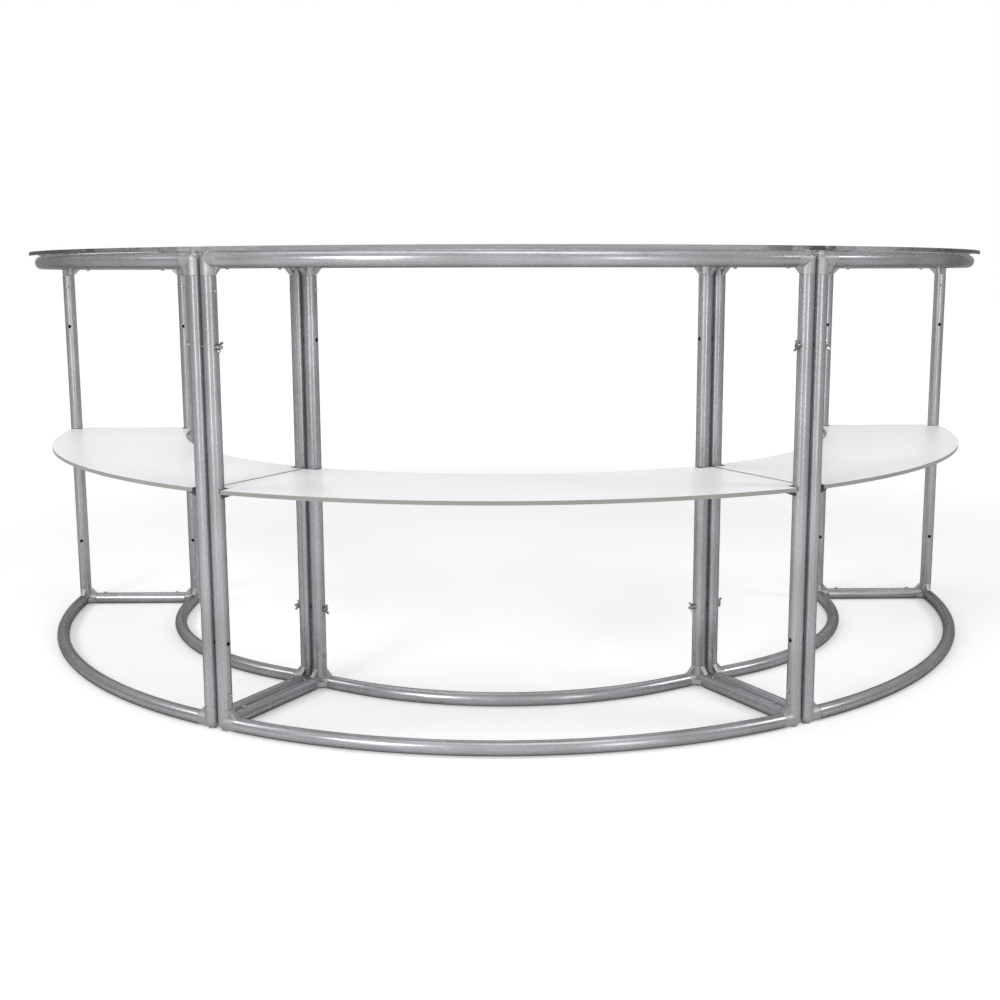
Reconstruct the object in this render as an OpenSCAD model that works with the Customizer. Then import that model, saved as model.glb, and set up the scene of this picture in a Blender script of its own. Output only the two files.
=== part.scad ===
// Curved exhibition and checkout counter: three bolted tube bays on a half circle, each with a shelf and a clear top panel.
// Millimetres, +Z up. The convex customer side faces -Y. The origin is on the floor, at the middle of the outline.

/* [Counter] */
// Radius of the circle through the centres of the outer posts
outer_radius = 1250; // [1000:10:1600]
// Distance from each outer post to the inner post behind it, centre to centre
bay_depth = 325; // [260:5:420]
// Height between the centres of the bottom and the top tubes
frame_height = 977; // [850:1:1100]
// Air gap between the tubes of two neighbouring bays
joint_gap = 5; // [3:0.5:12]
// Straight length of the inner curved tubes before their bend, from the corner centre
inner_lead = 94; // [86:1:130]

/* [Tubes] */
// Outer diameter of every tube
tube_d = 31.75; // [28:0.25:38]
// Wall of every tube
tube_wall = 1.9; // [1.5:0.1:2.6]
// Gap left at the seam between a tube and its connector
seam_gap = 0.4; // [0.2:0.1:1]
// Depth of the clamp mark along a straight lead, which ends at the bend
bend_mark = 0.12; // [0.08:0.02:0.2]

/* [Corner connectors] */
// Length of each sleeve, from the corner centre to the seam
sleeve_l = 31.5; // [28:0.5:36]
// Length of each spigot past the seam, inside the tube
spigot_l = 45; // [42:0.5:52]
// Wall of the hollow spigot
spigot_wall = 3; // [2.5:0.1:4]
// Clearance between a spigot and the tube around it
spigot_clearance = 0.15; // [0.1:0.05:0.4]
// Thickness of the webs that brace the sleeves
web_t = 11; // [8:0.5:14]
// Diameter of the flat pad under and over each corner
pad_d = 19; // [14:0.5:24]
// Height of the flat pad beyond the tubes
pad_rise = 0.6; // [0.3:0.1:3]

/* [Snap buttons] */
// Diameter of a snap button
button_d = 7.8; // [6:0.1:9]
// Distance of a post's snap buttons from the corner centre
post_button_at = 63; // [56:0.5:66]
// Distance of a bottom or top rail's snap buttons from the corner centre
rail_button_at = 57; // [54:0.5:64]
// Height of a snap button above the tube
button_proud = 3.6; // [2:0.1:5]
// Clearance between a snap button and its hole
button_clearance = 0.1; // [0.05:0.05:0.3]
// Distance of the spring leaf's root from the seam
leaf_root = 2; // [1:0.5:6]
// Width of the spring leaf
leaf_w = 8.6; // [6:0.1:10]
// Thickness of the spring leaf
leaf_t = 0.8; // [0.5:0.1:1.2]

/* [Joint hardware] */
// Distance of the bolt holes of every post from the bottom and the top tube centres
bolt_at = 176; // [140:1:220]
// Diameter of the wing screws
bolt_d = 6.35; // [5:0.05:7]
// Clearance around a wing screw in the posts
bolt_clearance = 1.525; // [0.1:0.025:1.6]
// Length of screw that shows past the outer face of the post on the nut side
bolt_out = 16; // [12:0.5:22]
// Diameter of the hub of a wing screw or a wing nut
hub_d = 12.6; // [11:0.1:16]
// Length of the hub
hub_l = 7; // [5:0.5:9]
// Length of each wing along its slope, from the middle of the hub
wing_l = 11.5; // [9:0.5:14]
// Width of each wing
wing_w = 5; // [4:0.1:6]
// Thickness of each wing
wing_t = 2.8; // [2:0.1:3.6]
// Angle between each wing and the screw
wing_slope = 46; // [35:1:60]
// Turn of the wing screws about their own axis, from upright
screw_turn = 12; // [-90:1:90]
// Turn of the wing nuts about their own axis, from upright
nut_turn = -28; // [-90:1:90]

/* [Shelves] */
// Height of the shelf's top face above the bottom tube centres
shelf_height = 507; // [400:1:620]
// Thickness of a shelf
shelf_t = 9; // [6:0.5:18]
// Distance of the shelf's outer edge past the circle through the outer posts, at the ends of the bay
shelf_outer_past_ends = 14; // [6:0.5:15]
// The same distance at the middle of the bay
shelf_outer_past_middle = 3; // [-10:0.5:15]
// Distance of the shelf's inner edge past the circle through the inner posts, at the ends of the bay
shelf_inner_past_ends = 6; // [4:0.5:14]
// The same distance at the middle of the bay
shelf_inner_past_middle = 16; // [4:0.5:24]
// Gap between neighbouring shelves
shelf_gap = 7; // [1.5:0.5:9]
// Clearance between a shelf and the face of each post, at the end of the notch
notch_end_clearance = 4.5; // [2:0.25:9]
// Clearance between a shelf and the outer posts, in the notch
notch_outer_clearance = 1.5; // [1:0.5:6]
// Clearance between a shelf and the inner posts, in the notch
notch_inner_clearance = 2; // [1:0.5:12]
// Reach of a shelf support from the face of its post
support_reach = 20; // [12:0.5:26]
// Width of a shelf support
support_w = 8; // [7:0.5:14]
// Thickness of a shelf support at its tip
support_tip_t = 3.5; // [3:0.5:6]
// Thickness of a shelf support at the post
support_root_t = 10; // [9:0.5:16]
// Diameter of the stud that holds a shelf support in the post
stud_d = 5; // [4:0.5:6]

/* [Top panels] */
// Thickness of a top panel
panel_t = 9.5; // [6:0.5:25]
// Overhang of a top panel past the outer face of the tubes, on both sides
panel_overhang = 12.5; // [4:0.5:30]
// Gap between neighbouring top panels
panel_gap = 2.5; // [1.5:0.5:6]

/* [Hidden] */
// Bays on the half circle
bay_names = ["left", "centre", "right"];
bay_angle = 180 / len(bay_names);
half_bay = bay_angle / 2;
rings = ["outer", "inner"];
levels = ["bottom", "top"];
joint_names = ["left", "right"];

// Tubes, spigots and their bores
tube_r = tube_d / 2;
bore_r = tube_r - tube_wall;
spigot_r = bore_r - bend_mark - spigot_clearance;
spigot_bore_r = spigot_r - spigot_wall;
spigot_end = sleeve_l + spigot_l;
tube_start = sleeve_l + seam_gap;
button_r = button_d / 2;
button_hole_r = button_r + button_clearance;
bolt_hole_r = bolt_d / 2 + bolt_clearance;
stud_r = stud_d / 2;

// Places of the posts: distance from the end of the bay, and radius of each ring
post_in = tube_r + joint_gap / 2;
inner_radius = outer_radius - bay_depth;
ring_radius = [outer_radius, inner_radius];
// The outer curved tubes bend from the corner itself, the inner ones after a straight lead
ring_lead = [0, inner_lead];
// Direction of the rail from each corner, along the local Y
rail_dir = [1, -1];
// The face of a post on the side of its bay
post_face = post_in + tube_r;
notch_l = post_face + notch_end_clearance;

// Heights above the bottom tube centres
foot_height = tube_r + pad_rise;
level_height = [0, frame_height];
level_up = [1, -1];
seat_gap = 0.05;
panel_bottom = frame_height + foot_height + seat_gap;
shelf_bottom = shelf_height - shelf_t;

// Radial steps between the three sleeves of a connector, which keep their crossings clean
sleeve_step = 0.15;
sphere_extra = 0.35;
web_inset = 0.5;
// Overlap that joins a straight lead to its bend
lead_overlap = 2;
// Overlap of cutters beyond the faces that they cut
cut = 1;
// Clearance of the wing hardware and the shelf supports from the posts
contact_gap = 0.05;
nut_clearance = 0.08;
stud_clearance = 0.1;
stud_inside = 4;
stud_root = 3;
// Flat of the spring leaf below the bore wall, so that its edges clear the round bore
leaf_sink = spigot_bore_r - sqrt(pow(spigot_bore_r, 2) - pow(leaf_w / 2, 2)) + 0.3;
leaf_past_button = button_r + 2;
button_chamfer = 1.2;

// Outline of the whole counter, which places the origin
panel_reach = tube_r + panel_overhang;
front_y = bend_centre(0) + bend_radius(0) + panel_reach;
rear_y = min(panel_gap, shelf_gap) / 2;
centre_y = (front_y + rear_y) / 2;
far = 2 * outer_radius;

tube_colour = "#96959b";
casting_colour = "#bfc0c3";
shelf_colour = "#f1f2f4";
panel_colour = "#c6c7cb";
panel_opacity = 0.4;
hardware_colour = "#b4b4b8";
button_colour = "#cfcfd2";
support_colour = "#4b4c50";

round_fn = 64;
sweep_fn = 360;

// Bend of a curved tube: its radius, and the distance of its centre from the centre of the half circle
function bend_start(ring) = post_in + ring_lead[ring];
function bend_radius(ring) = ring_radius[ring] - bend_start(ring) / tan(half_bay);
function bend_centre(ring) = bend_start(ring) / sin(half_bay);
function bend_degrees(length, ring) = length / bend_radius(ring) * 180 / PI;
function side(end) = end == 1 ? -1 : 1;

// Counter frame: the centre of the half circle is moved so that the origin lies below the middle of the outline
module in_bay(bay) {
    translate([0, centre_y, foot_height])
        rotate([0, 0, (bay - 1) * bay_angle])
            children();
}

// Frame of one end of a bay: X runs from the bay's end into the bay, -Y outwards along the radius
module at_end(end) {
    rotate([0, 0, side(end) * half_bay])
        mirror([end == 2 ? 1 : 0, 0, 0])
            children();
}

// Frame of a joint between two bays: X runs along the joint's screws, from left to right
module at_joint(joint) {
    translate([0, centre_y, foot_height])
        rotate([0, 0, (joint - 0.5) * bay_angle])
            children();
}

module x_cylinder(r, h) {
    rotate([0, 90, 0])
        cylinder(r = r, h = h, $fn = round_fn);
}

module y_cylinder(r, h, direction) {
    rotate([direction > 0 ? -90 : 90, 0, 0])
        cylinder(r = r, h = h, $fn = round_fn);
}

module z_cylinder(r, h, direction) {
    mirror([0, 0, direction > 0 ? 0 : 1])
        cylinder(r = r, h = h, $fn = round_fn);
}

// Round rod along a whole curved tube of a bay, from a distance past one corner centre to the same past the other
module curve_rod(ring, r, from) {
    lead = ring_lead[ring];
    skipped = bend_degrees(max(0, from - lead), ring);
    at_end(1)
        translate([bend_start(ring), bend_radius(ring) - ring_radius[ring], 0])
            rotate([0, 0, skipped - 90])
                rotate_extrude(angle = bay_angle - 2 * skipped, $fn = sweep_fn)
                    translate([bend_radius(ring), 0])
                        circle(r = r, $fn = round_fn);
    if (from < lead)
        for (end = [1, 2])
            at_end(end)
                translate([post_in + from, -ring_radius[ring], 0])
                    x_cylinder(r - bend_mark, lead - from + lead_overlap);
}

// Short round rod at the start of a curved tube, between two distances from the corner centre
module curve_start_rod(ring, r, from, to) {
    if (to > ring_lead[ring])
        translate([bend_start(ring), bend_radius(ring) - ring_radius[ring], 0])
            rotate([0, 0, bend_degrees(from - ring_lead[ring], ring) - 90])
                rotate_extrude(angle = bend_degrees(to - from, ring), $fn = sweep_fn)
                    translate([bend_radius(ring), 0])
                        circle(r = r, $fn = round_fn);
    else
        translate([post_in + from, -ring_radius[ring], 0])
            x_cylinder(r, to - from);
}

// Round hole from the middle of a post through the wall that faces its bay
module bay_side_hole(r, height) {
    translate([0, 0, height])
        x_cylinder(r, tube_r + cut);
}

module post(ring) {
    color(tube_colour)
        translate([post_in, -ring_radius[ring], 0])
            difference() {
                translate([0, 0, tube_start])
                    cylinder(r = tube_r, h = frame_height - 2 * tube_start, $fn = round_fn);
                translate([0, 0, tube_start - cut])
                    cylinder(r = bore_r, h = frame_height - 2 * tube_start + 2 * cut, $fn = round_fn);
                for (height = [bolt_at, frame_height - bolt_at])
                    translate([-tube_r - cut, 0, height])
                        x_cylinder(bolt_hole_r, tube_d + 2 * cut);
                for (height = [post_button_at, frame_height - post_button_at])
                    bay_side_hole(button_hole_r, height);
                bay_side_hole(stud_r + stud_clearance, support_stud_height());
            }
}

module curved_tube(ring, level) {
    color(tube_colour)
        translate([0, 0, level_height[level]])
            difference() {
                curve_rod(ring, tube_r, tube_start);
                curve_rod(ring, bore_r, tube_start - cut);
            }
}

module rail(level) {
    length = bay_depth - 2 * tube_start;
    translate([post_in, -outer_radius + tube_start, level_height[level]])
        difference() {
            y_cylinder(tube_r, length, 1);
            translate([0, -cut, 0])
                y_cylinder(bore_r, length + 2 * cut, 1);
            for (y = [rail_button_at - tube_start, bay_depth - rail_button_at - tube_start])
                translate([0, y, 0])
                    z_cylinder(button_hole_r, tube_r + cut, level_up[level]);
        }
}

module rails() {
    color(tube_colour)
        for (level = [0, 1])
            rail(level);
}

// Web between two sleeves, in the XY plane of the corner, with both sleeves along +X and +Y
module web() {
    reach = sleeve_l - web_inset;
    linear_extrude(web_t, center = true)
        polygon([[0, 0], [reach, 0], [reach, tube_r], [tube_r, reach], [0, reach]]);
}

// Corner casting with three hollow spigots, standing pad and bracing webs
module connector(ring, level) {
    up = level_up[level];
    inwards = rail_dir[ring];
    difference() {
        union() {
            translate([post_in, -ring_radius[ring], 0]) {
                sphere(r = tube_r + sphere_extra, $fn = round_fn);
                z_cylinder(pad_d / 2, foot_height, -up);
                z_cylinder(tube_r, sleeve_l, up);
                z_cylinder(spigot_r, spigot_end, up);
                y_cylinder(tube_r - sleeve_step, sleeve_l, inwards);
                y_cylinder(spigot_r, spigot_end, inwards);
                mirror([0, inwards > 0 ? 0 : 1, 0])
                    web();
                mirror([0, 0, up > 0 ? 0 : 1])
                    rotate([90, 0, 0])
                        web();
                mirror([0, 0, up > 0 ? 0 : 1])
                    mirror([0, inwards > 0 ? 0 : 1, 0])
                        rotate([90, 0, 90])
                            web();
            }
            curve_start_rod(ring, tube_r - 2 * sleeve_step, 0, sleeve_l);
            curve_start_rod(ring, spigot_r, 0, spigot_end);
        }
        curve_start_rod(ring, spigot_bore_r, sleeve_l, spigot_end + cut);
        translate([post_in, -ring_radius[ring], 0]) {
            translate([0, 0, up * sleeve_l])
                z_cylinder(spigot_bore_r, spigot_l + cut, up);
            translate([0, inwards * sleeve_l, 0])
                y_cylinder(spigot_bore_r, spigot_l + cut, inwards);
            translate([0, 0, up * post_button_at])
                x_cylinder(button_hole_r, tube_r);
            translate([0, inwards * rail_button_at, 0])
                z_cylinder(button_hole_r, tube_r, up);
        }
    }
}

module connectors(level) {
    color(casting_colour)
        translate([0, 0, level_height[level]])
            for (end = [1, 2], ring = [0, 1])
                at_end(end)
                    connector(ring, level);
}

// Snap button on its spring leaf: the button points along +Z from the tube's axis, at a distance from the corner
// centre, and the leaf runs back along -X to the root of the spigot
module snap_button(at) {
    leaf_l = at + leaf_past_button - sleeve_l - leaf_root;
    leaf_top = spigot_bore_r - leaf_sink;
    top = tube_r + button_proud;
    translate([0, 0, leaf_top - leaf_t / 2])
        cylinder(r = button_r, h = top - button_chamfer - leaf_top + leaf_t / 2, $fn = round_fn);
    translate([0, 0, top - button_chamfer])
        cylinder(r1 = button_r, r2 = button_r - button_chamfer, h = button_chamfer, $fn = round_fn);
    translate([leaf_past_button - leaf_l, -leaf_w / 2, leaf_top - leaf_t])
        cube([leaf_l, leaf_w, leaf_t]);
}

// The leaf lies towards the corner, inside the hollow spigot
module post_buttons() {
    color(button_colour)
        for (ring = [0, 1], level = [0, 1])
            translate([post_in, -ring_radius[ring], level_height[level] + level_up[level] * post_button_at])
                mirror([0, 0, level_up[level] > 0 ? 0 : 1])
                    rotate([0, 90, 0])
                        mirror([1, 0, 0])
                            snap_button(post_button_at);
}

module rail_buttons(level) {
    color(button_colour)
        for (bay = [0:len(bay_names) - 1], end = [1, 2], ring = [0, 1])
            in_bay(bay)
                at_end(end)
                    translate([post_in, rail_dir[ring] * rail_button_at - ring_radius[ring], level_height[level]])
                        mirror([0, 0, level_up[level] > 0 ? 0 : 1])
                            rotate([0, 0, rail_dir[ring] * 90])
                                snap_button(rail_button_at);
}

// Sector of a bay, cut half a gap short of each end
module bay_wedge(gap) {
    tip = -gap / 2 / sin(half_bay);
    far_y = tip - far * cos(half_bay);
    polygon([[0, tip], [-far * sin(half_bay), far_y], [far * sin(half_bay), far_y]]);
}

// Everything inside the line that runs along a curved tube, at a distance outside its centre
module ring_region(ring, past) {
    translate([0, -bend_centre(ring)])
        circle(r = bend_radius(ring) + past, $fn = sweep_fn);
    for (end = [1, 2])
        at_end(end)
            translate([0, -ring_radius[ring] - past])
                square([bend_start(ring), ring_radius[ring] + past]);
}

// Disc whose rim crosses both ends of a bay at one distance past a ring, and its middle at another
module shelf_disc(radius, past_ends, past_middle) {
    middle = radius + past_middle;
    half_chord = (radius + past_ends) * sin(half_bay);
    rise = middle - (radius + past_ends) * cos(half_bay);
    disc_radius = (pow(half_chord, 2) + pow(rise, 2)) / (2 * rise);
    translate([0, disc_radius - middle])
        circle(r = disc_radius, $fn = sweep_fn);
}

module shelf() {
    outer_notch = outer_radius - tube_r - notch_outer_clearance;
    inner_notch = inner_radius + tube_r + notch_inner_clearance;
    color(shelf_colour)
        translate([0, 0, shelf_bottom])
            linear_extrude(shelf_t)
                difference() {
                    intersection() {
                        bay_wedge(shelf_gap);
                        shelf_disc(outer_radius, shelf_outer_past_ends, shelf_outer_past_middle);
                    }
                    shelf_disc(inner_radius, -shelf_inner_past_ends, -shelf_inner_past_middle);
                    for (end = [1, 2])
                        at_end(end) {
                            translate([-far, -far])
                                square([far + notch_l, far - outer_notch]);
                            translate([-far, -inner_notch])
                                square([far + notch_l, inner_notch]);
                        }
                }
}

module top_panel() {
    color(panel_colour, panel_opacity)
        translate([0, 0, panel_bottom])
            linear_extrude(panel_t)
                difference() {
                    intersection() {
                        bay_wedge(panel_gap);
                        ring_region(0, panel_reach);
                    }
                    ring_region(1, -panel_reach);
                }
}

function support_stud_height() = shelf_bottom - seat_gap - support_root_t / 2;

// Tapered support on a stud, under the step of the shelf's notch
module shelf_support(ring) {
    top = shelf_bottom - seat_gap;
    tip = post_face + support_reach;
    difference() {
        translate([0, support_w / 2 - ring_radius[ring], 0])
            rotate([90, 0, 0])
                linear_extrude(support_w)
                    polygon([
                        [post_in, top],
                        [tip, top],
                        [tip, top - support_tip_t],
                        [post_face, top - support_root_t],
                        [post_in, top - support_root_t]
                    ]);
        translate([post_in, -ring_radius[ring], top - support_root_t - cut])
            cylinder(r = tube_r + contact_gap, h = support_root_t + 2 * cut, $fn = round_fn);
    }
    translate([post_face - stud_inside, -ring_radius[ring], support_stud_height()])
        x_cylinder(stud_r, stud_inside + stud_root);
}

module shelf_supports() {
    color(support_colour)
        for (bay = [0:len(bay_names) - 1], end = [1, 2], ring = [0, 1])
            in_bay(bay)
                at_end(end)
                    shelf_support(ring);
}

// Two wings on a hub, along +X from the face that meets the post, upright before the turn
module wings(turn) {
    rotate([turn, 0, 0]) {
        x_cylinder(hub_d / 2, hub_l);
        for (flip = [0, 1])
            mirror([0, 0, flip])
                rotate([90, 0, 0])
                    linear_extrude(wing_t, center = true)
                        translate([hub_l / 2, hub_d / 4])
                            rotate(wing_slope) {
                                translate([0, -wing_w / 2])
                                    square([wing_l - wing_w / 2, wing_w]);
                                translate([wing_l - wing_w / 2, 0])
                                    circle(d = wing_w, $fn = round_fn);
                            }
    }
}

// The screw heads sit left of the outer posts and right of the inner posts
function head_side(ring) = ring == 0 ? -1 : 1;
function bolt_height(ring) = ring == 0 ? frame_height - bolt_at : bolt_at;

module at_bolt(ring, direction) {
    translate([direction * (post_face + contact_gap), -ring_radius[ring], bolt_height(ring)])
        mirror([direction > 0 ? 0 : 1, 0, 0])
            children();
}

module wing_screw(ring) {
    length = 2 * (post_face + contact_gap) + bolt_out;
    color(hardware_colour)
        at_bolt(ring, head_side(ring)) {
            wings(screw_turn);
            translate([-length, 0, 0])
                x_cylinder(bolt_d / 2, length + hub_l / 2);
        }
}

module wing_nut(ring) {
    color(hardware_colour)
        at_bolt(ring, -head_side(ring))
            difference() {
                wings(nut_turn);
                translate([-cut, 0, 0])
                    x_cylinder(bolt_d / 2 + nut_clearance, bolt_out + wing_l);
            }
}

for (bay = [0:len(bay_names) - 1], ring = [0, 1], end = [1, 2])
    in_bay(bay) at_end(end) post(ring);

for (bay = [0:len(bay_names) - 1], ring = [0, 1], level = [0, 1])
    in_bay(bay) curved_tube(ring, level);

for (bay = [0:len(bay_names) - 1], end = [1, 2])
    in_bay(bay) at_end(end) rails();

for (bay = [0:len(bay_names) - 1], level = [0, 1])
    in_bay(bay) connectors(level);

for (bay = [0:len(bay_names) - 1], end = [1, 2])
    in_bay(bay) at_end(end) post_buttons();

for (bay = [0:len(bay_names) - 1])
    in_bay(bay) shelf();

for (bay = [0:len(bay_names) - 1])
    in_bay(bay) top_panel();

for (joint = [0, 1], ring = [0, 1])
    at_joint(joint) wing_screw(ring);

for (joint = [0, 1], ring = [0, 1])
    at_joint(joint) wing_nut(ring);

rail_buttons(0);  // rail_buttons_bottom
rail_buttons(1);  // rail_buttons_top
shelf_supports();
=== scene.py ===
"""Curved, modular tube-frame counter: finishes, detail pieces, studio and camera."""

import math

import bmesh
import bpy
from mathutils import Matrix, Vector


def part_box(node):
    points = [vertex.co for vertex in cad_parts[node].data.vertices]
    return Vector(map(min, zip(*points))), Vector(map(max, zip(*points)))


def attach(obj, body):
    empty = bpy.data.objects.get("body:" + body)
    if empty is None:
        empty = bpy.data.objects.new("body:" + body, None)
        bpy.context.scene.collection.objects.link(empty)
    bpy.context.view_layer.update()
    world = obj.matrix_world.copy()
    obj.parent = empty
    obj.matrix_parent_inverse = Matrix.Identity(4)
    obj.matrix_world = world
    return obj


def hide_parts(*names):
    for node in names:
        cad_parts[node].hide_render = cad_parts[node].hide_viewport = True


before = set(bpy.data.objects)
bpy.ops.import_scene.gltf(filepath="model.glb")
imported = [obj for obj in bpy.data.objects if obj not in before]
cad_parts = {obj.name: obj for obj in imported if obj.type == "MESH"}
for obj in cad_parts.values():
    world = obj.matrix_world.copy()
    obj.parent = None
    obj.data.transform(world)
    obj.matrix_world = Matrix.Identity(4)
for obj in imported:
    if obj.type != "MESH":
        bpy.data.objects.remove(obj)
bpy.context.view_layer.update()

# Sizes in metres, the same as in the CAD
OUTER_R = 1.25  # circle through the outer posts
INNER_R = 0.925  # circle through the inner posts
TUBE_R = 0.015875
POST_IN = 0.018375  # post axis from the middle of its joint
SEAT_GAP = 0.00005
POST_FACE = POST_IN + TUBE_R + SEAT_GAP  # where a wing nut sits, from the middle of its joint
BOLT_R = 0.003175
BOLT_OUT = 0.016  # bolt end beyond the post
BAYS = ("left", "centre", "right")
JOINTS = {"left": -30.0, "right": 30.0}  # degrees about the half circle's centre
CENTRE_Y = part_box("centre_bay_outer_curve_bottom")[0][1] + OUTER_R + TUBE_R


# ---------------------------------------------------------------- node helper

SHADER_SAMPLES = 6  # for rounded edges and crevices
RUB_FROM, RUB_FULL = 0.985, 0.86  # cosine between the rounded and the true normal
# The painted crevice shade starts, and is full, at these shares of open sky
CREVICE_FROM, CREVICE_FULL = 0.75, 0.2  # share of open sky


class Finish:
    """A procedural material built around one Principled shader."""

    def __init__(self, name, metallic=0.0, **sockets):
        self.material = bpy.data.materials.new(name)
        self.material.use_nodes = True
        self.nodes = self.material.node_tree.nodes
        self.links = self.material.node_tree.links
        self.shader = self.nodes["Principled BSDF"]
        self.shader.inputs["Metallic"].default_value = metallic
        for socket, value in sockets.items():
            self.shader.inputs[socket.replace("_", " ")].default_value = value

    def put(self, socket, value):
        if isinstance(value, bpy.types.NodeSocket):
            self.links.new(value, socket)
        else:
            socket.default_value = value

    def add(self, kind, inputs, output=0, **settings):
        node = self.nodes.new("ShaderNode" + kind)
        for name, value in settings.items():
            setattr(node, name, value)
        for name, value in inputs.items():
            self.put(node.inputs[name], value)
        return node.outputs[output]

    def set(self, socket, value):
        self.put(self.shader.inputs[socket], value)

    def math(self, operation, a, b=0.0, clamp=False):
        return self.add("Math", {0: a, 1: b}, operation=operation, use_clamp=clamp)

    def times(self, a, b, clamp=False):
        return self.math("MULTIPLY", a, b, clamp)

    def span(self, value, lo, hi, to_lo=0.0, to_hi=1.0):
        """Value from lo..hi carried to to_lo..to_hi, and held there outside."""
        return self.add("MapRange", {0: value, 1: lo, 2: hi, 3: to_lo, 4: to_hi})

    def mix(self, factor, a, b):
        return self.add("Mix", {0: factor, 6: a, 7: b}, output=2, data_type="RGBA")

    def split(self, vector):
        node = self.nodes.new("ShaderNodeSeparateXYZ")
        self.links.new(vector, node.inputs[0])
        return node.outputs

    def place(self):
        return self.add("TexCoord", {}, output="Object")

    def stretched(self, place, x, y, z):
        return self.add("VectorMath", {0: place, 1: (x, y, z)}, operation="MULTIPLY")

    def noise(self, vector, scale, detail=2.0, roughness=0.5):
        return self.add(
            "TexNoise",
            {"Vector": vector, "Scale": scale, "Detail": detail, "Roughness": roughness},
        )

    def bump(self, height, distance, strength=1.0, normal=None):
        inputs = {"Height": height, "Distance": distance, "Strength": strength}
        if normal is not None:
            inputs["Normal"] = normal
        return self.add("Bump", inputs, output="Normal")

    def rounded(self, radius):
        return self.add("Bevel", {"Radius": radius}, samples=SHADER_SAMPLES)

    def edges(self, radius, patches):
        """Broken mask along the edges of a piece: 1 where the finish is rubbed through."""
        soft = self.rounded(radius)
        normal = self.add("NewGeometry", {}, output="Normal")
        same = self.add("VectorMath", {0: soft, 1: normal}, output="Value", operation="DOT_PRODUCT")
        return self.times(self.span(same, RUB_FROM, RUB_FULL), patches, clamp=True)

    def crevice_shade(self, distance):
        """Mask for painted shade: 1 in corners and gaps, where shade falls, 0 on open faces."""
        inputs = {"Distance": distance}
        open_sky = self.add("AmbientOcclusion", inputs, output="AO", samples=SHADER_SAMPLES)
        return self.span(open_sky, CREVICE_FROM, CREVICE_FULL)


def grey(value, red=1.0, blue=1.0):
    """A grey, tinted by more or less red and blue than green."""
    return (value * red, value, value * blue, 1.0)


# ------------------------------------------------------------------ materials


def tube_finish(name, run):
    """Satin anodised aluminium tube. run: 'up', 'round' or 'out', the way that the tube lies."""
    f = Finish(name, metallic=0.64, Specular_IOR_Level=0.1, Specular_Tint=grey(0.0))
    place = f.place()
    x, y, z = f.split(place)
    back = f.math("SUBTRACT", y, CENTRE_Y)
    ring = f.math("SQRT", f.math("ADD", f.times(x, x), f.times(back, back)))
    turn = f.math("ARCTAN2", x, f.times(back, -1.0))
    arc = f.times(turn, OUTER_R)
    across, other, along = {"up": (x, y, z), "round": (ring, z, arc), "out": (arc, z, ring)}[run]

    def drawn(fine, long):
        """Place in the tube's own directions, fine across it and long along it."""
        inputs = {0: f.times(across, fine), 1: f.times(other, fine), 2: f.times(along, long)}
        return f.add("CombineXYZ", inputs)

    streaks = f.noise(drawn(1400.0, 9.0), 1.0, detail=3.0, roughness=0.65)
    bands = f.noise(drawn(230.0, 2.2), 1.0, detail=2.0)
    clouds = f.noise(place, 7.0, detail=1.0, roughness=0.5)
    handling = f.noise(place, 38.0, detail=4.0, roughness=0.62)
    scratches = f.noise(drawn(3200.0, 46.0), 1.0, detail=1.0)
    nicks = f.span(scratches, 0.72, 0.78)

    tone = f.math("ADD", f.times(streaks, 0.65), f.times(bands, 0.35))
    colour = f.mix(f.span(tone, 0.36, 0.64), grey(0.36, 1.005, 1.06), grey(0.48, 1.0, 1.04))
    colour = f.mix(f.span(clouds, 0.36, 0.68, 0.0, 0.42), colour, grey(0.25))
    # Painted shade: the undersides darker, most on the tubes low down
    facing = f.split(f.add("NewGeometry", {}, output="Normal"))[2]
    painted_underside_shade = f.times(f.span(facing, 0.1, -0.75), f.span(z, 0.95, 0.15, 0.3, 1.0))
    colour = f.mix(f.times(painted_underside_shade, 0.65), colour, grey(0.15, 1.0, 1.02))
    rubbed = f.edges(0.0009, f.span(handling, 0.38, 0.6, 0.25, 1.0))
    colour = f.mix(f.times(rubbed, 0.35), colour, grey(0.5))
    colour = f.mix(f.times(nicks, 0.35), colour, grey(0.52))
    f.set("Base Color", colour)

    rough = f.span(streaks, 0.25, 0.75, 0.22, 0.29)
    rough = f.math("ADD", rough, f.span(handling, 0.45, 0.75, 0.0, 0.03))
    rough = f.math("SUBTRACT", rough, f.times(rubbed, 0.08))
    f.set("Roughness", rough)

    height = f.math("ADD", streaks, f.times(nicks, -0.6))
    f.set("Normal", f.bump(height, 0.000004, normal=f.rounded(0.0005)))
    return f.material


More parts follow.
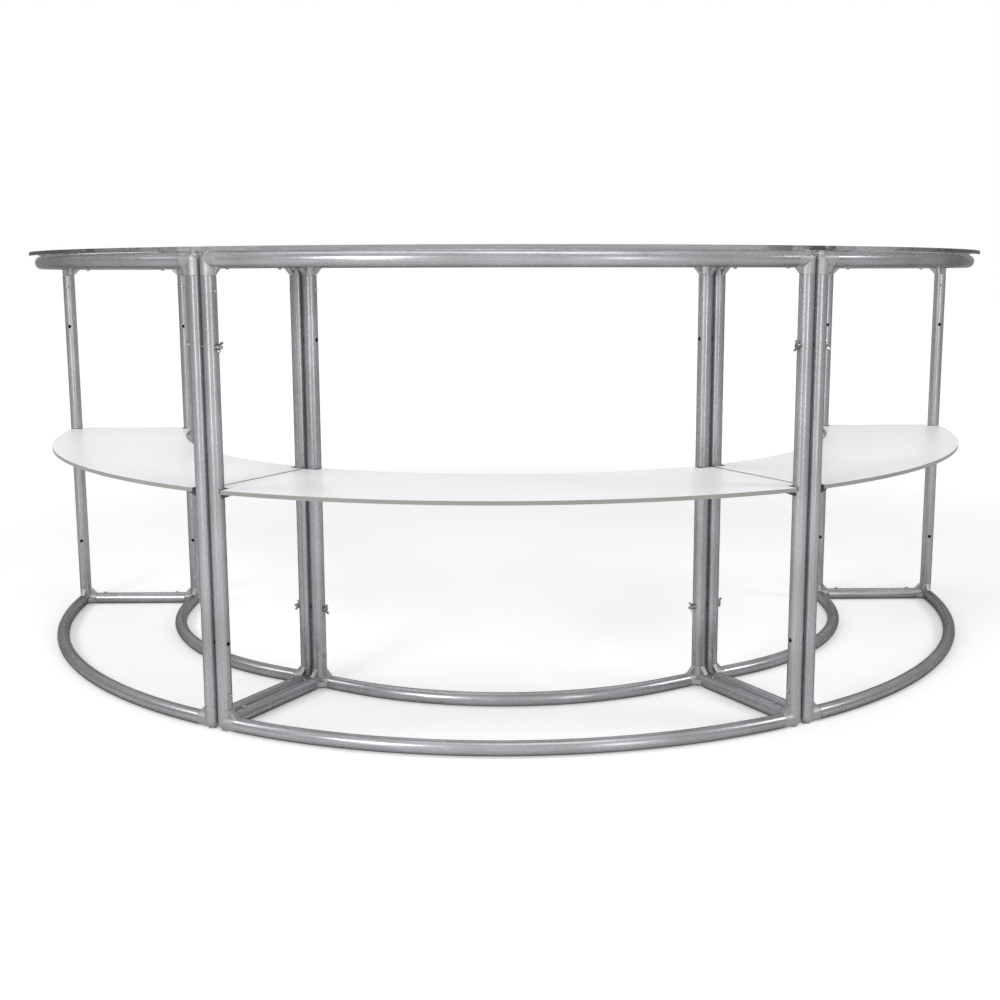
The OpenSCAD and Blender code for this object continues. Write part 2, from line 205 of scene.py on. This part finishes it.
def cast_finish():
    """Fine bead-blasted cast aluminium of the corner connectors."""
    f = Finish("connector_cast", metallic=1.0, Specular_Tint=grey(0.8))
    place = f.place()
    blast = f.noise(place, 2600.0, detail=2.0, roughness=0.6)
    pits = f.span(f.noise(place, 900.0, detail=1.0), 0.68, 0.76)
    skin = f.noise(place, 130.0, detail=4.0, roughness=0.6)
    stain = f.noise(place, 34.0, detail=3.0, roughness=0.6)
    colour = f.mix(f.span(skin, 0.3, 0.7), grey(0.36, 0.99, 1.015), grey(0.44, 1.0, 1.01))
    colour = f.mix(f.span(stain, 0.5, 0.74, 0.0, 0.3), colour, grey(0.29, 1.01, 0.98))
    colour = f.mix(f.times(pits, 0.4), colour, grey(0.2))
    # Painted shade: darker in corners and gaps
    colour = f.mix(f.times(f.crevice_shade(0.005), 0.45), colour, grey(0.13, 1.02, 0.96))
    rubbed = f.edges(0.0011, f.span(stain, 0.4, 0.58, 0.3, 1.0))
    colour = f.mix(f.times(rubbed, 0.6), colour, grey(0.7))
    f.set("Base Color", colour)
    rough = f.span(blast, 0.3, 0.7, 0.46, 0.56)
    f.set("Roughness", f.math("SUBTRACT", rough, f.times(rubbed, 0.14)))
    height = f.math("ADD", blast, f.times(pits, -0.8))
    height = f.math("ADD", height, f.times(skin, 1.4))
    f.set("Normal", f.bump(height, 0.00005, normal=f.rounded(0.0014)))
    return f.material


def shelf_finish():
    """White melamine face."""
    f = Finish("shelf_white_melamine", IOR=1.5)
    place = f.place()
    peel = f.noise(place, 620.0, detail=2.0)
    cloud = f.noise(place, 3.2, detail=4.0, roughness=0.6)
    wiped = f.noise(place, 26.0, detail=5.0, roughness=0.68)
    hair = f.noise(f.stretched(place, 900.0, 70.0, 500.0), 1.0)
    hair = f.span(hair, 0.74, 0.8)
    colour = f.mix(f.span(cloud, 0.3, 0.7), grey(0.80, 0.99, 1.012), grey(0.845, 0.99, 1.012))
    colour = f.mix(f.span(wiped, 0.56, 0.8, 0.0, 0.12), colour, grey(0.66, 1.01, 0.98))
    colour = f.mix(f.times(hair, 0.12), colour, grey(0.55))
    # Painted shade: darker in corners and gaps
    colour = f.mix(f.times(f.crevice_shade(0.012), 0.25), colour, grey(0.5, 1.02, 0.97))
    f.set("Base Color", colour)
    rough = f.math("ADD", f.span(wiped, 0.3, 0.75, 0.30, 0.44), f.times(hair, 0.12))
    f.set("Roughness", rough)
    f.set("Normal", f.bump(peel, 0.00002))
    return f.material


def shelf_edge_finish():
    """Grey-beige edge of the shelf, with the board's layers showing as fine lines."""
    f = Finish("shelf_edge", IOR=1.5)
    place = f.place()
    layers = f.noise(f.stretched(place, 5.0, 5.0, 1500.0), 1.0, detail=3.0)
    grain = f.noise(f.stretched(place, 180.0, 180.0, 900.0), 1.0, detail=3.0)
    colour = f.mix(f.span(layers, 0.3, 0.7), grey(0.27, 1.02, 0.92), grey(0.37, 1.015, 0.93))
    colour = f.mix(f.span(grain, 0.45, 0.75, 0.0, 0.35), colour, grey(0.22, 1.03, 0.9))
    rubbed = f.edges(0.0007, f.span(f.noise(place, 30.0, detail=3.0), 0.45, 0.6))
    colour = f.mix(f.times(rubbed, 0.5), colour, grey(0.6, 1.0, 0.97))
    # Painted shade: nearly black in corners and gaps
    colour = f.mix(f.times(f.crevice_shade(0.02), 0.9), colour, grey(0.04))
    f.set("Base Color", colour)
    f.set("Roughness", f.span(grain, 0.3, 0.7, 0.48, 0.62))
    f.set("Normal", f.bump(f.math("ADD", layers, grain), 0.00006))
    return f.material


def lamps_pass(f, tone):
    """Lets lamp light through a clear finish, as a clear sheet does, dimmed to tone."""
    path = f.nodes.new("ShaderNodeLightPath")
    clear = f.add("BsdfTransparent", {"Color": grey(tone)})
    surface = f.add(
        "MixShader", {0: path.outputs["Is Shadow Ray"], 1: f.shader.outputs[0], 2: clear}
    )
    f.links.new(surface, f.nodes["Material Output"].inputs["Surface"])


def acrylic_finish():
    """Polished face of a clear acrylic sheet, with wiping marks and hairline scratches."""
    f = Finish("acrylic_face", Transmission_Weight=1.0, IOR=1.49)
    place = f.place()
    wiped = f.noise(place, 17.0, detail=5.0, roughness=0.7)
    hair = f.stretched(place, 820.0, 60.0, 500.0)
    hair = f.span(f.noise(hair, 1.0), 0.73, 0.8)
    colour = f.mix(f.span(wiped, 0.45, 0.8), grey(0.985, 0.995, 1.0), grey(0.95, 0.995, 1.0))
    f.set("Base Color", f.mix(f.times(hair, 0.25), colour, grey(0.8)))
    rough = f.math("ADD", f.span(wiped, 0.35, 0.75, 0.012, 0.05), f.times(hair, 0.12))
    f.set("Roughness", rough)
    lamps_pass(f, 0.93)
    return f.material


def acrylic_edge_finish():
    """Sawn edge of the acrylic sheet: grey with fine saw marks, with painted reflections: dark
    towards the ends, pale and dark patches near the joints.
    """
    f = Finish("acrylic_edge", Transmission_Weight=0.14, IOR=1.49)
    place = f.place()
    sawn = f.stretched(place, 900.0, 900.0, 60.0)
    sawn = f.noise(sawn, 1.0, detail=3.0, roughness=0.6)
    cloud = f.noise(place, 11.0, detail=4.0, roughness=0.62)
    layer = f.stretched(place, 9.0, 9.0, 420.0)
    layer = f.noise(layer, 1.0, detail=2.0)
    sideways = f.math("ABSOLUTE", f.split(place)[0])
    joint = f.span(sideways, 0.44, 0.60)
    patch = f.noise(place, 5.0, detail=5.0, roughness=0.7)
    colour = f.mix(f.span(layer, 0.35, 0.65), grey(0.52, 0.99, 1.03), grey(0.62, 0.99, 1.03))
    colour = f.mix(f.span(cloud, 0.5, 0.72, 0.0, 0.35), colour, grey(0.72, 0.99, 1.03))
    # Painted reflections of the surroundings in the clear sheet's edge: pale and dark patches near
    # the joints, dark towards the ends
    painted_pale_reflection = f.times(joint, f.span(patch, 0.56, 0.62, 0.0, 0.75))
    painted_dark_reflection = f.times(joint, f.span(patch, 0.53, 0.46, 0.0, 0.85))
    painted_dark_reflection = f.math("MAXIMUM", painted_dark_reflection, f.span(sideways, 0.66, 1.0, 0.0, 0.85))
    colour = f.mix(painted_pale_reflection, colour, grey(0.84, 1.0, 1.04))
    colour = f.mix(painted_dark_reflection, colour, grey(0.07, 1.02, 1.0))
    f.set("Base Color", colour)
    f.set("Specular IOR Level", f.span(painted_dark_reflection, 0.0, 0.85, 0.5, 0.0))
    f.set("Roughness", f.span(sawn, 0.3, 0.7, 0.18, 0.30))
    f.set("Normal", f.bump(sawn, 0.000012, normal=f.rounded(0.0006)))
    lamps_pass(f, 0.5)
    return f.material


def support_finish():
    """Dark moulded plastic of the shelf supports."""
    f = Finish("support_plastic", IOR=1.5)
    place = f.place()
    grain = f.noise(place, 2400.0, detail=2.0)
    patch = f.noise(place, 160.0, detail=4.0, roughness=0.6)
    rubbed = f.edges(0.0007, f.span(patch, 0.42, 0.58))
    colour = f.mix(f.span(patch, 0.3, 0.7), grey(0.026, 1.0, 1.02), grey(0.045, 1.0, 1.02))
    colour = f.mix(f.times(rubbed, 0.5), colour, grey(0.14))
    f.set("Base Color", colour)
    rough = f.span(grain, 0.3, 0.7, 0.42, 0.56)
    f.set("Roughness", f.math("SUBTRACT", rough, f.times(rubbed, 0.12)))
    f.set("Normal", f.bump(grain, 0.00003, normal=f.rounded(0.0008)))
    return f.material


def plated_finish(name, low, high, rough, red=1.0, blue=1.0, radius=0.0005):
    """Plated steel, grey between low and high: zinc on wing hardware, nickel on buttons."""
    f = Finish(name, metallic=1.0, Specular_Tint=grey(0.8))
    place = f.place()
    skin = f.noise(place, 700.0, detail=3.0, roughness=0.6)
    stain = f.noise(place, 180.0, detail=3.0, roughness=0.6)
    rubbed = f.edges(radius, f.span(stain, 0.4, 0.56))
    colour = f.mix(f.span(stain, 0.3, 0.7), grey(low, red, blue), grey(high, 1.0, 1.0))
    # Painted shade: darker in corners and gaps
    colour = f.mix(f.times(f.crevice_shade(0.002), 0.5), colour, grey(low * 0.35, 1.05, 0.9))
    colour = f.mix(f.times(rubbed, 0.5), colour, grey(0.8))
    f.set("Base Color", colour)
    f.set("Roughness", f.span(skin, 0.3, 0.7, rough - 0.05, rough + 0.07))
    f.set("Normal", f.bump(skin, 0.00002, normal=f.rounded(radius)))
    return f.material


post_tube = tube_finish("tube_upright", "up")
curve_tube = tube_finish("tube_curved", "round")
rail_tube = tube_finish("tube_straight", "out")
cast = cast_finish()
shelf_white = shelf_finish()
shelf_edge = shelf_edge_finish()
acrylic = acrylic_finish()
acrylic_edge = acrylic_edge_finish()
support_plastic = support_finish()
zinc = plated_finish("wing_zinc", 0.2, 0.3, 0.3, 1.01, 0.97)
nickel = plated_finish("button_nickel", 0.36, 0.46, 0.34, radius=0.0008)


def dress(node, *materials):
    """Gives a CAD node, or a piece that replaces it, these materials."""
    slots = node.data.materials
    slots.clear()
    for material in materials:
        slots.append(material)


# The first word that a node's name holds gives its finish
CAD_FINISHES = {
    "_buttons": nickel,
    "connectors": cast,
    "_curve_": curve_tube,
    "_rails_": rail_tube,
    "_post_": post_tube,
    "_wing_": zinc,
    "shelf_supports": support_plastic,
}
for name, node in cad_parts.items():
    for word, material in CAD_FINISHES.items():
        if word in name:
            dress(node, material)
            break


# -------------------------------------------------------------- detail pieces


MERGE = 2e-5  # points closer than this become one
FLAT_ANGLE = 0.4  # degrees up to which neighbouring faces are one flat face
FLAT_WEIGHT = 100  # large faces decide the normals
LEVEL = 0.5  # a face whose normal has more z than this is a top or bottom face
ROUND_SEGMENTS = 3


def own_copy(node, name):
    """A new mesh object with the CAD node's solid, its faces joined up at their edges."""
    mesh = bpy.data.meshes.new(name)
    shape = bmesh.new()
    shape.from_mesh(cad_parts[node].data)
    bmesh.ops.remove_doubles(shape, verts=shape.verts, dist=MERGE)
    bmesh.ops.dissolve_limit(
        shape, angle_limit=math.radians(FLAT_ANGLE), verts=shape.verts, edges=shape.edges
    )
    shape.to_mesh(mesh)
    shape.free()
    piece = bpy.data.objects.new(name, mesh)
    bpy.context.scene.collection.objects.link(piece)
    return piece


def soften(piece, width, angle=35.0):
    """Rounds the piece's edges that are sharper than angle, in degrees."""
    bevel = piece.modifiers.new("soften", "BEVEL")
    bevel.width = width
    bevel.segments = ROUND_SEGMENTS
    bevel.limit_method = "ANGLE"
    bevel.angle_limit = math.radians(angle)
    bevel.use_clamp_overlap = True
    for polygon in piece.data.polygons:
        polygon.use_smooth = True
    # The large flat faces keep their own direction, so that they neither bend light nor shade
    flat = piece.modifiers.new("flat_faces", "WEIGHTED_NORMAL")
    flat.mode = "FACE_AREA"
    flat.weight = FLAT_WEIGHT


def stands_for(piece, node, body):
    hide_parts(node)
    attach(piece, body)


def sheet(node, name, face, edge, rounding):
    """A flat board or panel, with one finish on its faces and another on its sawn edges."""
    piece = own_copy(node, name)
    dress(piece, face, edge)
    for polygon in piece.data.polygons:
        polygon.material_index = 0 if abs(polygon.normal.z) > LEVEL else 1
    soften(piece, rounding)
    return piece


for bay in BAYS:
    shelf = sheet(f"{bay}_bay_shelf", f"{bay}_shelf_board", shelf_white, shelf_edge, 0.0006)
    stands_for(shelf, f"{bay}_bay_shelf", f"{bay}_shelf")
    panel = sheet(f"{bay}_bay_top_panel", f"{bay}_clear_panel", acrylic, acrylic_edge, 0.0008)
    stands_for(panel, f"{bay}_bay_top_panel", f"{bay}_top_panel")


# The wing screws' thread, with distances from the middle of the joint
THREAD_PITCH = 0.00127
ROOT_R = 0.00262
THREAD_FROM = POST_FACE - 0.004
THREAD_END = POST_FACE + BOLT_OUT
SHANK_PAST = 0.0005  # the CAD's shank ends this far inside the threaded end
CREST = 0.88  # height at which the flanks are cut off
FLANK_SLOPE = 1.2
TIP_R = ROOT_R * 0.86
AROUND = 36
RINGS_PER_TURN = 8


def thread_radius(along, turn):
    """Radius of the thread's surface, at a distance along the screw and an angle in turns."""
    phase = (along / THREAD_PITCH - turn) % 1.0
    flank = min(max(1.0 - abs(2.0 * phase - 1.0) * FLANK_SLOPE, 0.0), CREST) / CREST
    thread = ROOT_R + (BOLT_R - ROOT_R) * flank
    return min(thread, TIP_R + (THREAD_END - along))


def threaded_end(shape, to_world):
    """Adds the screw's threaded end, a closed surface along +X of its own frame."""
    rings = []
    count = round((THREAD_END - THREAD_FROM) / (THREAD_PITCH / RINGS_PER_TURN))
    for i in range(count + 1):
        along = THREAD_FROM + (THREAD_END - THREAD_FROM) * i / count
        ring = []
        for j in range(AROUND):
            r = thread_radius(along, j / AROUND)
            angle = 2 * math.pi * j / AROUND
            point = Vector((along, r * math.cos(angle), r * math.sin(angle)))
            ring.append(shape.verts.new(to_world @ point))
        rings.append(ring)
    faces = [shape.faces.new(rings[0]), shape.faces.new(rings[-1])]
    for low, high in zip(rings, rings[1:]):
        for j in range(AROUND):
            k = (j + 1) % AROUND
            faces.append(shape.faces.new((low[j], low[k], high[k], high[j])))
    for face in faces:
        face.smooth = True
    bmesh.ops.recalc_face_normals(shape, faces=faces)


for joint, angle in JOINTS.items():
    a = math.radians(angle)
    for ring in ("outer", "inner"):
        name = f"{joint}_joint_{ring}_wing_screw"
        radius = OUTER_R if ring == "outer" else INNER_R
        tail = 1.0 if ring == "outer" else -1.0  # side of the joint that the thread points to
        low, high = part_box(f"{joint}_joint_{ring}_wing_nut")
        height = (low[2] + high[2]) / 2
        axis = tail * Vector((math.cos(a), math.sin(a), 0.0))
        middle = Vector((radius * math.sin(a), CENTRE_Y - radius * math.cos(a), height))
        side = Vector((0.0, 0.0, 1.0)).cross(axis)
        turned = Matrix((axis, side, (0.0, 0.0, 1.0))).transposed().to_4x4()
        to_world = Matrix.Translation(middle) @ turned
        screw = own_copy(name, f"{joint}_{ring}_threaded_screw")
        shape = bmesh.new()
        shape.from_mesh(screw.data)
        for vert in shape.verts:
            past = (vert.co - middle).dot(axis) - THREAD_FROM - SHANK_PAST
            if past > 0:
                vert.co -= axis * past
        for face in shape.faces:
            face.smooth = True
        threaded_end(shape, to_world)
        shape.to_mesh(screw.data)
        shape.free()
        screw.data.set_sharp_from_angle(angle=math.radians(35.0))
        dress(screw, zinc)
        stands_for(screw, name, f"{joint}_{ring}_wing_screw")
        name = f"{joint}_joint_{ring}_wing_nut"
        nut = own_copy(name, f"{joint}_{ring}_cast_nut")
        dress(nut, zinc)
        soften(nut, 0.0005, angle=30.0)
        stands_for(nut, name, f"{joint}_{ring}_wing_nut")


# --------------------------------------------------------------------- studio


AMBIENT = 0.42  # world light that falls on the object
WHITE = (1.0, 1.0, 1.0, 1.0)
# Mirror reflections of what lies to the sides are dimmed: from and up to which share of x in the
# direction, and by how much
SIDE_FROM, SIDE_FULL, SIDE_DIM = 0.35, 0.95, 0.68

FLOOR_TONE = 0.82
FLOOR_REACH = 40.0
GLOW_CENTRE = (0.0, 0.3, 0.0)
# Distance from the glow's centre, and strength of the floor's own light there
GLOW_NEAR, GLOW_FAR = (1.6, 0.34), (4.5, 0.70)


def scalar(tree, operation, a, b=0.0):
    """A Math node's output. Its inputs are sockets or numbers."""
    node = tree.nodes.new("ShaderNodeMath")
    node.operation = operation
    for socket, value in zip(node.inputs, (a, b)):
        if isinstance(value, bpy.types.NodeSocket):
            tree.links.new(value, socket)
        else:
            socket.default_value = value
    return node.outputs[0]


def ramp(tree, value, start, end, low, high, interpolation="LINEAR"):
    """Value from start..end carried to low..high."""
    node = tree.nodes.new("ShaderNodeMapRange")
    node.interpolation_type = interpolation
    tree.links.new(value, node.inputs[0])
    for socket, number in zip(node.inputs[1:5], (start, end, low, high)):
        socket.default_value = number
    return node.outputs[0]


def seen(tree):
    """1 for camera, glossy and transmission rays, 0 for the rays that light the object."""
    path = tree.nodes.new("ShaderNodeLightPath").outputs
    seen_at_all = scalar(tree, "MAXIMUM", path["Is Camera Ray"], path["Is Glossy Ray"])
    return scalar(tree, "MAXIMUM", seen_at_all, path["Is Transmission Ray"])


def dim_sides(tree, direction):
    """Under 1 for mirror reflections of what lies to the sides, 1 for all other rays."""
    split = tree.nodes.new("ShaderNodeSeparateXYZ")
    tree.links.new(direction, split.inputs[0])
    sideways = scalar(tree, "ABSOLUTE", split.outputs[0])
    dim = ramp(tree, sideways, SIDE_FROM, SIDE_FULL, 0.0, SIDE_DIM)
    path = tree.nodes.new("ShaderNodeLightPath")
    dim = scalar(tree, "MULTIPLY", dim, path.outputs["Is Glossy Ray"])
    return scalar(tree, "SUBTRACT", 1.0, dim)


def light_world():
    """White world, which gives the object only AMBIENT of its light."""
    world = bpy.data.worlds.new("studio")
    bpy.context.scene.world = world
    world.use_nodes = True
    tree = world.node_tree
    strength = ramp(tree, seen(tree), 0.0, 1.0, AMBIENT, 1.0)
    toward = tree.nodes.new("ShaderNodeTexCoord").outputs["Generated"]
    background = tree.nodes["Background"]
    background.inputs["Color"].default_value = WHITE
    lit = scalar(tree, "MULTIPLY", strength, dim_sides(tree, toward))
    tree.links.new(lit, background.inputs["Strength"])


def floor_material():
    """White floor that keeps the object's shadow and runs out into the white background."""
    material = bpy.data.materials.new("floor_white")
    material.use_nodes = True
    tree = material.node_tree
    shader = tree.nodes["Principled BSDF"]
    shader.inputs["Base Color"].default_value = grey(FLOOR_TONE)
    shader.inputs["Roughness"].default_value = 0.9
    shader.inputs["Specular IOR Level"].default_value = 0.0
    shader.inputs["Emission Color"].default_value = WHITE
    place = tree.nodes.new("ShaderNodeNewGeometry").outputs["Position"]
    away = tree.nodes.new("ShaderNodeVectorMath")
    away.operation = "DISTANCE"
    tree.links.new(place, away.inputs[0])
    away.inputs[1].default_value = GLOW_CENTRE
    toward = tree.nodes.new("ShaderNodeVectorMath")
    toward.operation = "NORMALIZE"
    tree.links.new(place, toward.inputs[0])
    distances, strengths = zip(GLOW_NEAR, GLOW_FAR)
    glow = ramp(tree, away.outputs["Value"], *distances, *strengths, "SMOOTHSTEP")
    glow = scalar(tree, "MULTIPLY", glow, seen(tree))
    glow = scalar(tree, "MULTIPLY", glow, dim_sides(tree, toward.outputs[0]))
    tree.links.new(glow, shader.inputs["Emission Strength"])
    return material


def lay_floor():
    mesh = bpy.data.meshes.new("floor")
    corners = ((-1, -1), (1, -1), (1, 1), (-1, 1))
    corners = [(x * FLOOR_REACH, y * FLOOR_REACH, 0) for x, y in corners]
    mesh.from_pydata(corners, [], [(0, 1, 2, 3)])
    mesh.materials.append(floor_material())
    floor = bpy.data.objects.new("floor", mesh)
    bpy.context.scene.collection.objects.link(floor)


def softbox(name, place, target, size, watts):
    """A rectangular lamp at place that shines on target."""
    light = bpy.data.lights.new(name, "AREA")
    light.shape = "RECTANGLE"
    light.size, light.size_y = size
    light.energy = watts
    lamp = bpy.data.objects.new(name, light)
    bpy.context.scene.collection.objects.link(lamp)
    lamp.location = place
    aim = Vector(target) - Vector(place)
    lamp.rotation_euler = aim.to_track_quat("-Z", "Y").to_euler()
    return lamp


def no_glare(lamp):
    """Keeps a low lamp from standing as a white patch in the clear panels."""
    unlit = bpy.data.collections.new(f"{lamp.name}_unlit")
    for bay in BAYS:
        unlit.objects.link(bpy.data.objects[f"{bay}_clear_panel"])
    for row in unlit.collection_objects:
        row.light_linking.link_state = "EXCLUDE"
    lamp.light_linking.receiver_collection = unlit


light_world()
lay_floor()
softbox("overhead", (-0.3, -0.5, 3.8), (0.0, -0.1, 0.5), (4.0, 1.2), 33)
# Name, place, target, size and watts of the low lamps
LOW_LAMPS = (
    ("key", (-2.3, -3.5, 2.3), (0.0, -0.1, 0.5), (1.0, 0.8), 50),
    ("side_left", (-3.6, -0.4, 2.8), (0.0, 0.0, 0.5), (1.3, 1.2), 26),
    ("side_right", (3.6, -0.8, 2.6), (0.0, 0.0, 0.5), (1.2, 1.2), 36),
    ("strip_left", (-1.9, -3.4, 1.0), (0.0, 0.0, 0.6), (0.4, 1.7), 11),
    ("strip_right", (1.7, -3.5, 1.0), (0.0, 0.0, 0.6), (0.4, 1.7), 11),
)
for lamp in LOW_LAMPS:
    no_glare(softbox(*lamp))


# --------------------------------------------------------------------- camera

# Fitted to the photo: place in metres, angles in radians, lens in millimetres, shifts as shares
# of the picture's width
CAMERA_AT = (-0.0145, -3.0674, 0.9641)
PITCH, YAW, ROLL = 0.1539, 0.0169, -0.0018  # down, to the right, and about the line of sight
LENS, SENSOR = 45.786, 36.0
SHIFT_X, SHIFT_Y = -0.02388, -0.02887
SIGHT = 200.0  # far end of what the camera sees

forward = Vector(
    (math.sin(YAW) * math.cos(PITCH), math.cos(YAW) * math.cos(PITCH), -math.sin(PITCH))
)
level = Vector((math.cos(YAW), -math.sin(YAW), 0.0))
upward = level.cross(forward)
right = math.cos(ROLL) * level + math.sin(ROLL) * upward
up = -math.sin(ROLL) * level + math.cos(ROLL) * upward

camera_data = bpy.data.cameras.new("camera")
camera_data.sensor_width = SENSOR
camera_data.lens = LENS
camera_data.shift_x = SHIFT_X
camera_data.shift_y = SHIFT_Y
camera_data.clip_end = SIGHT
camera = bpy.data.objects.new("camera", camera_data)
bpy.context.scene.collection.objects.link(camera)
turned = Matrix((right, up, -forward)).transposed().to_4x4()
camera.matrix_world = Matrix.Translation(CAMERA_AT) @ turned
bpy.context.scene.camera = camera
bpy.context.scene.view_settings.view_transform = "Standard"

bpy.context.view_layer.update()
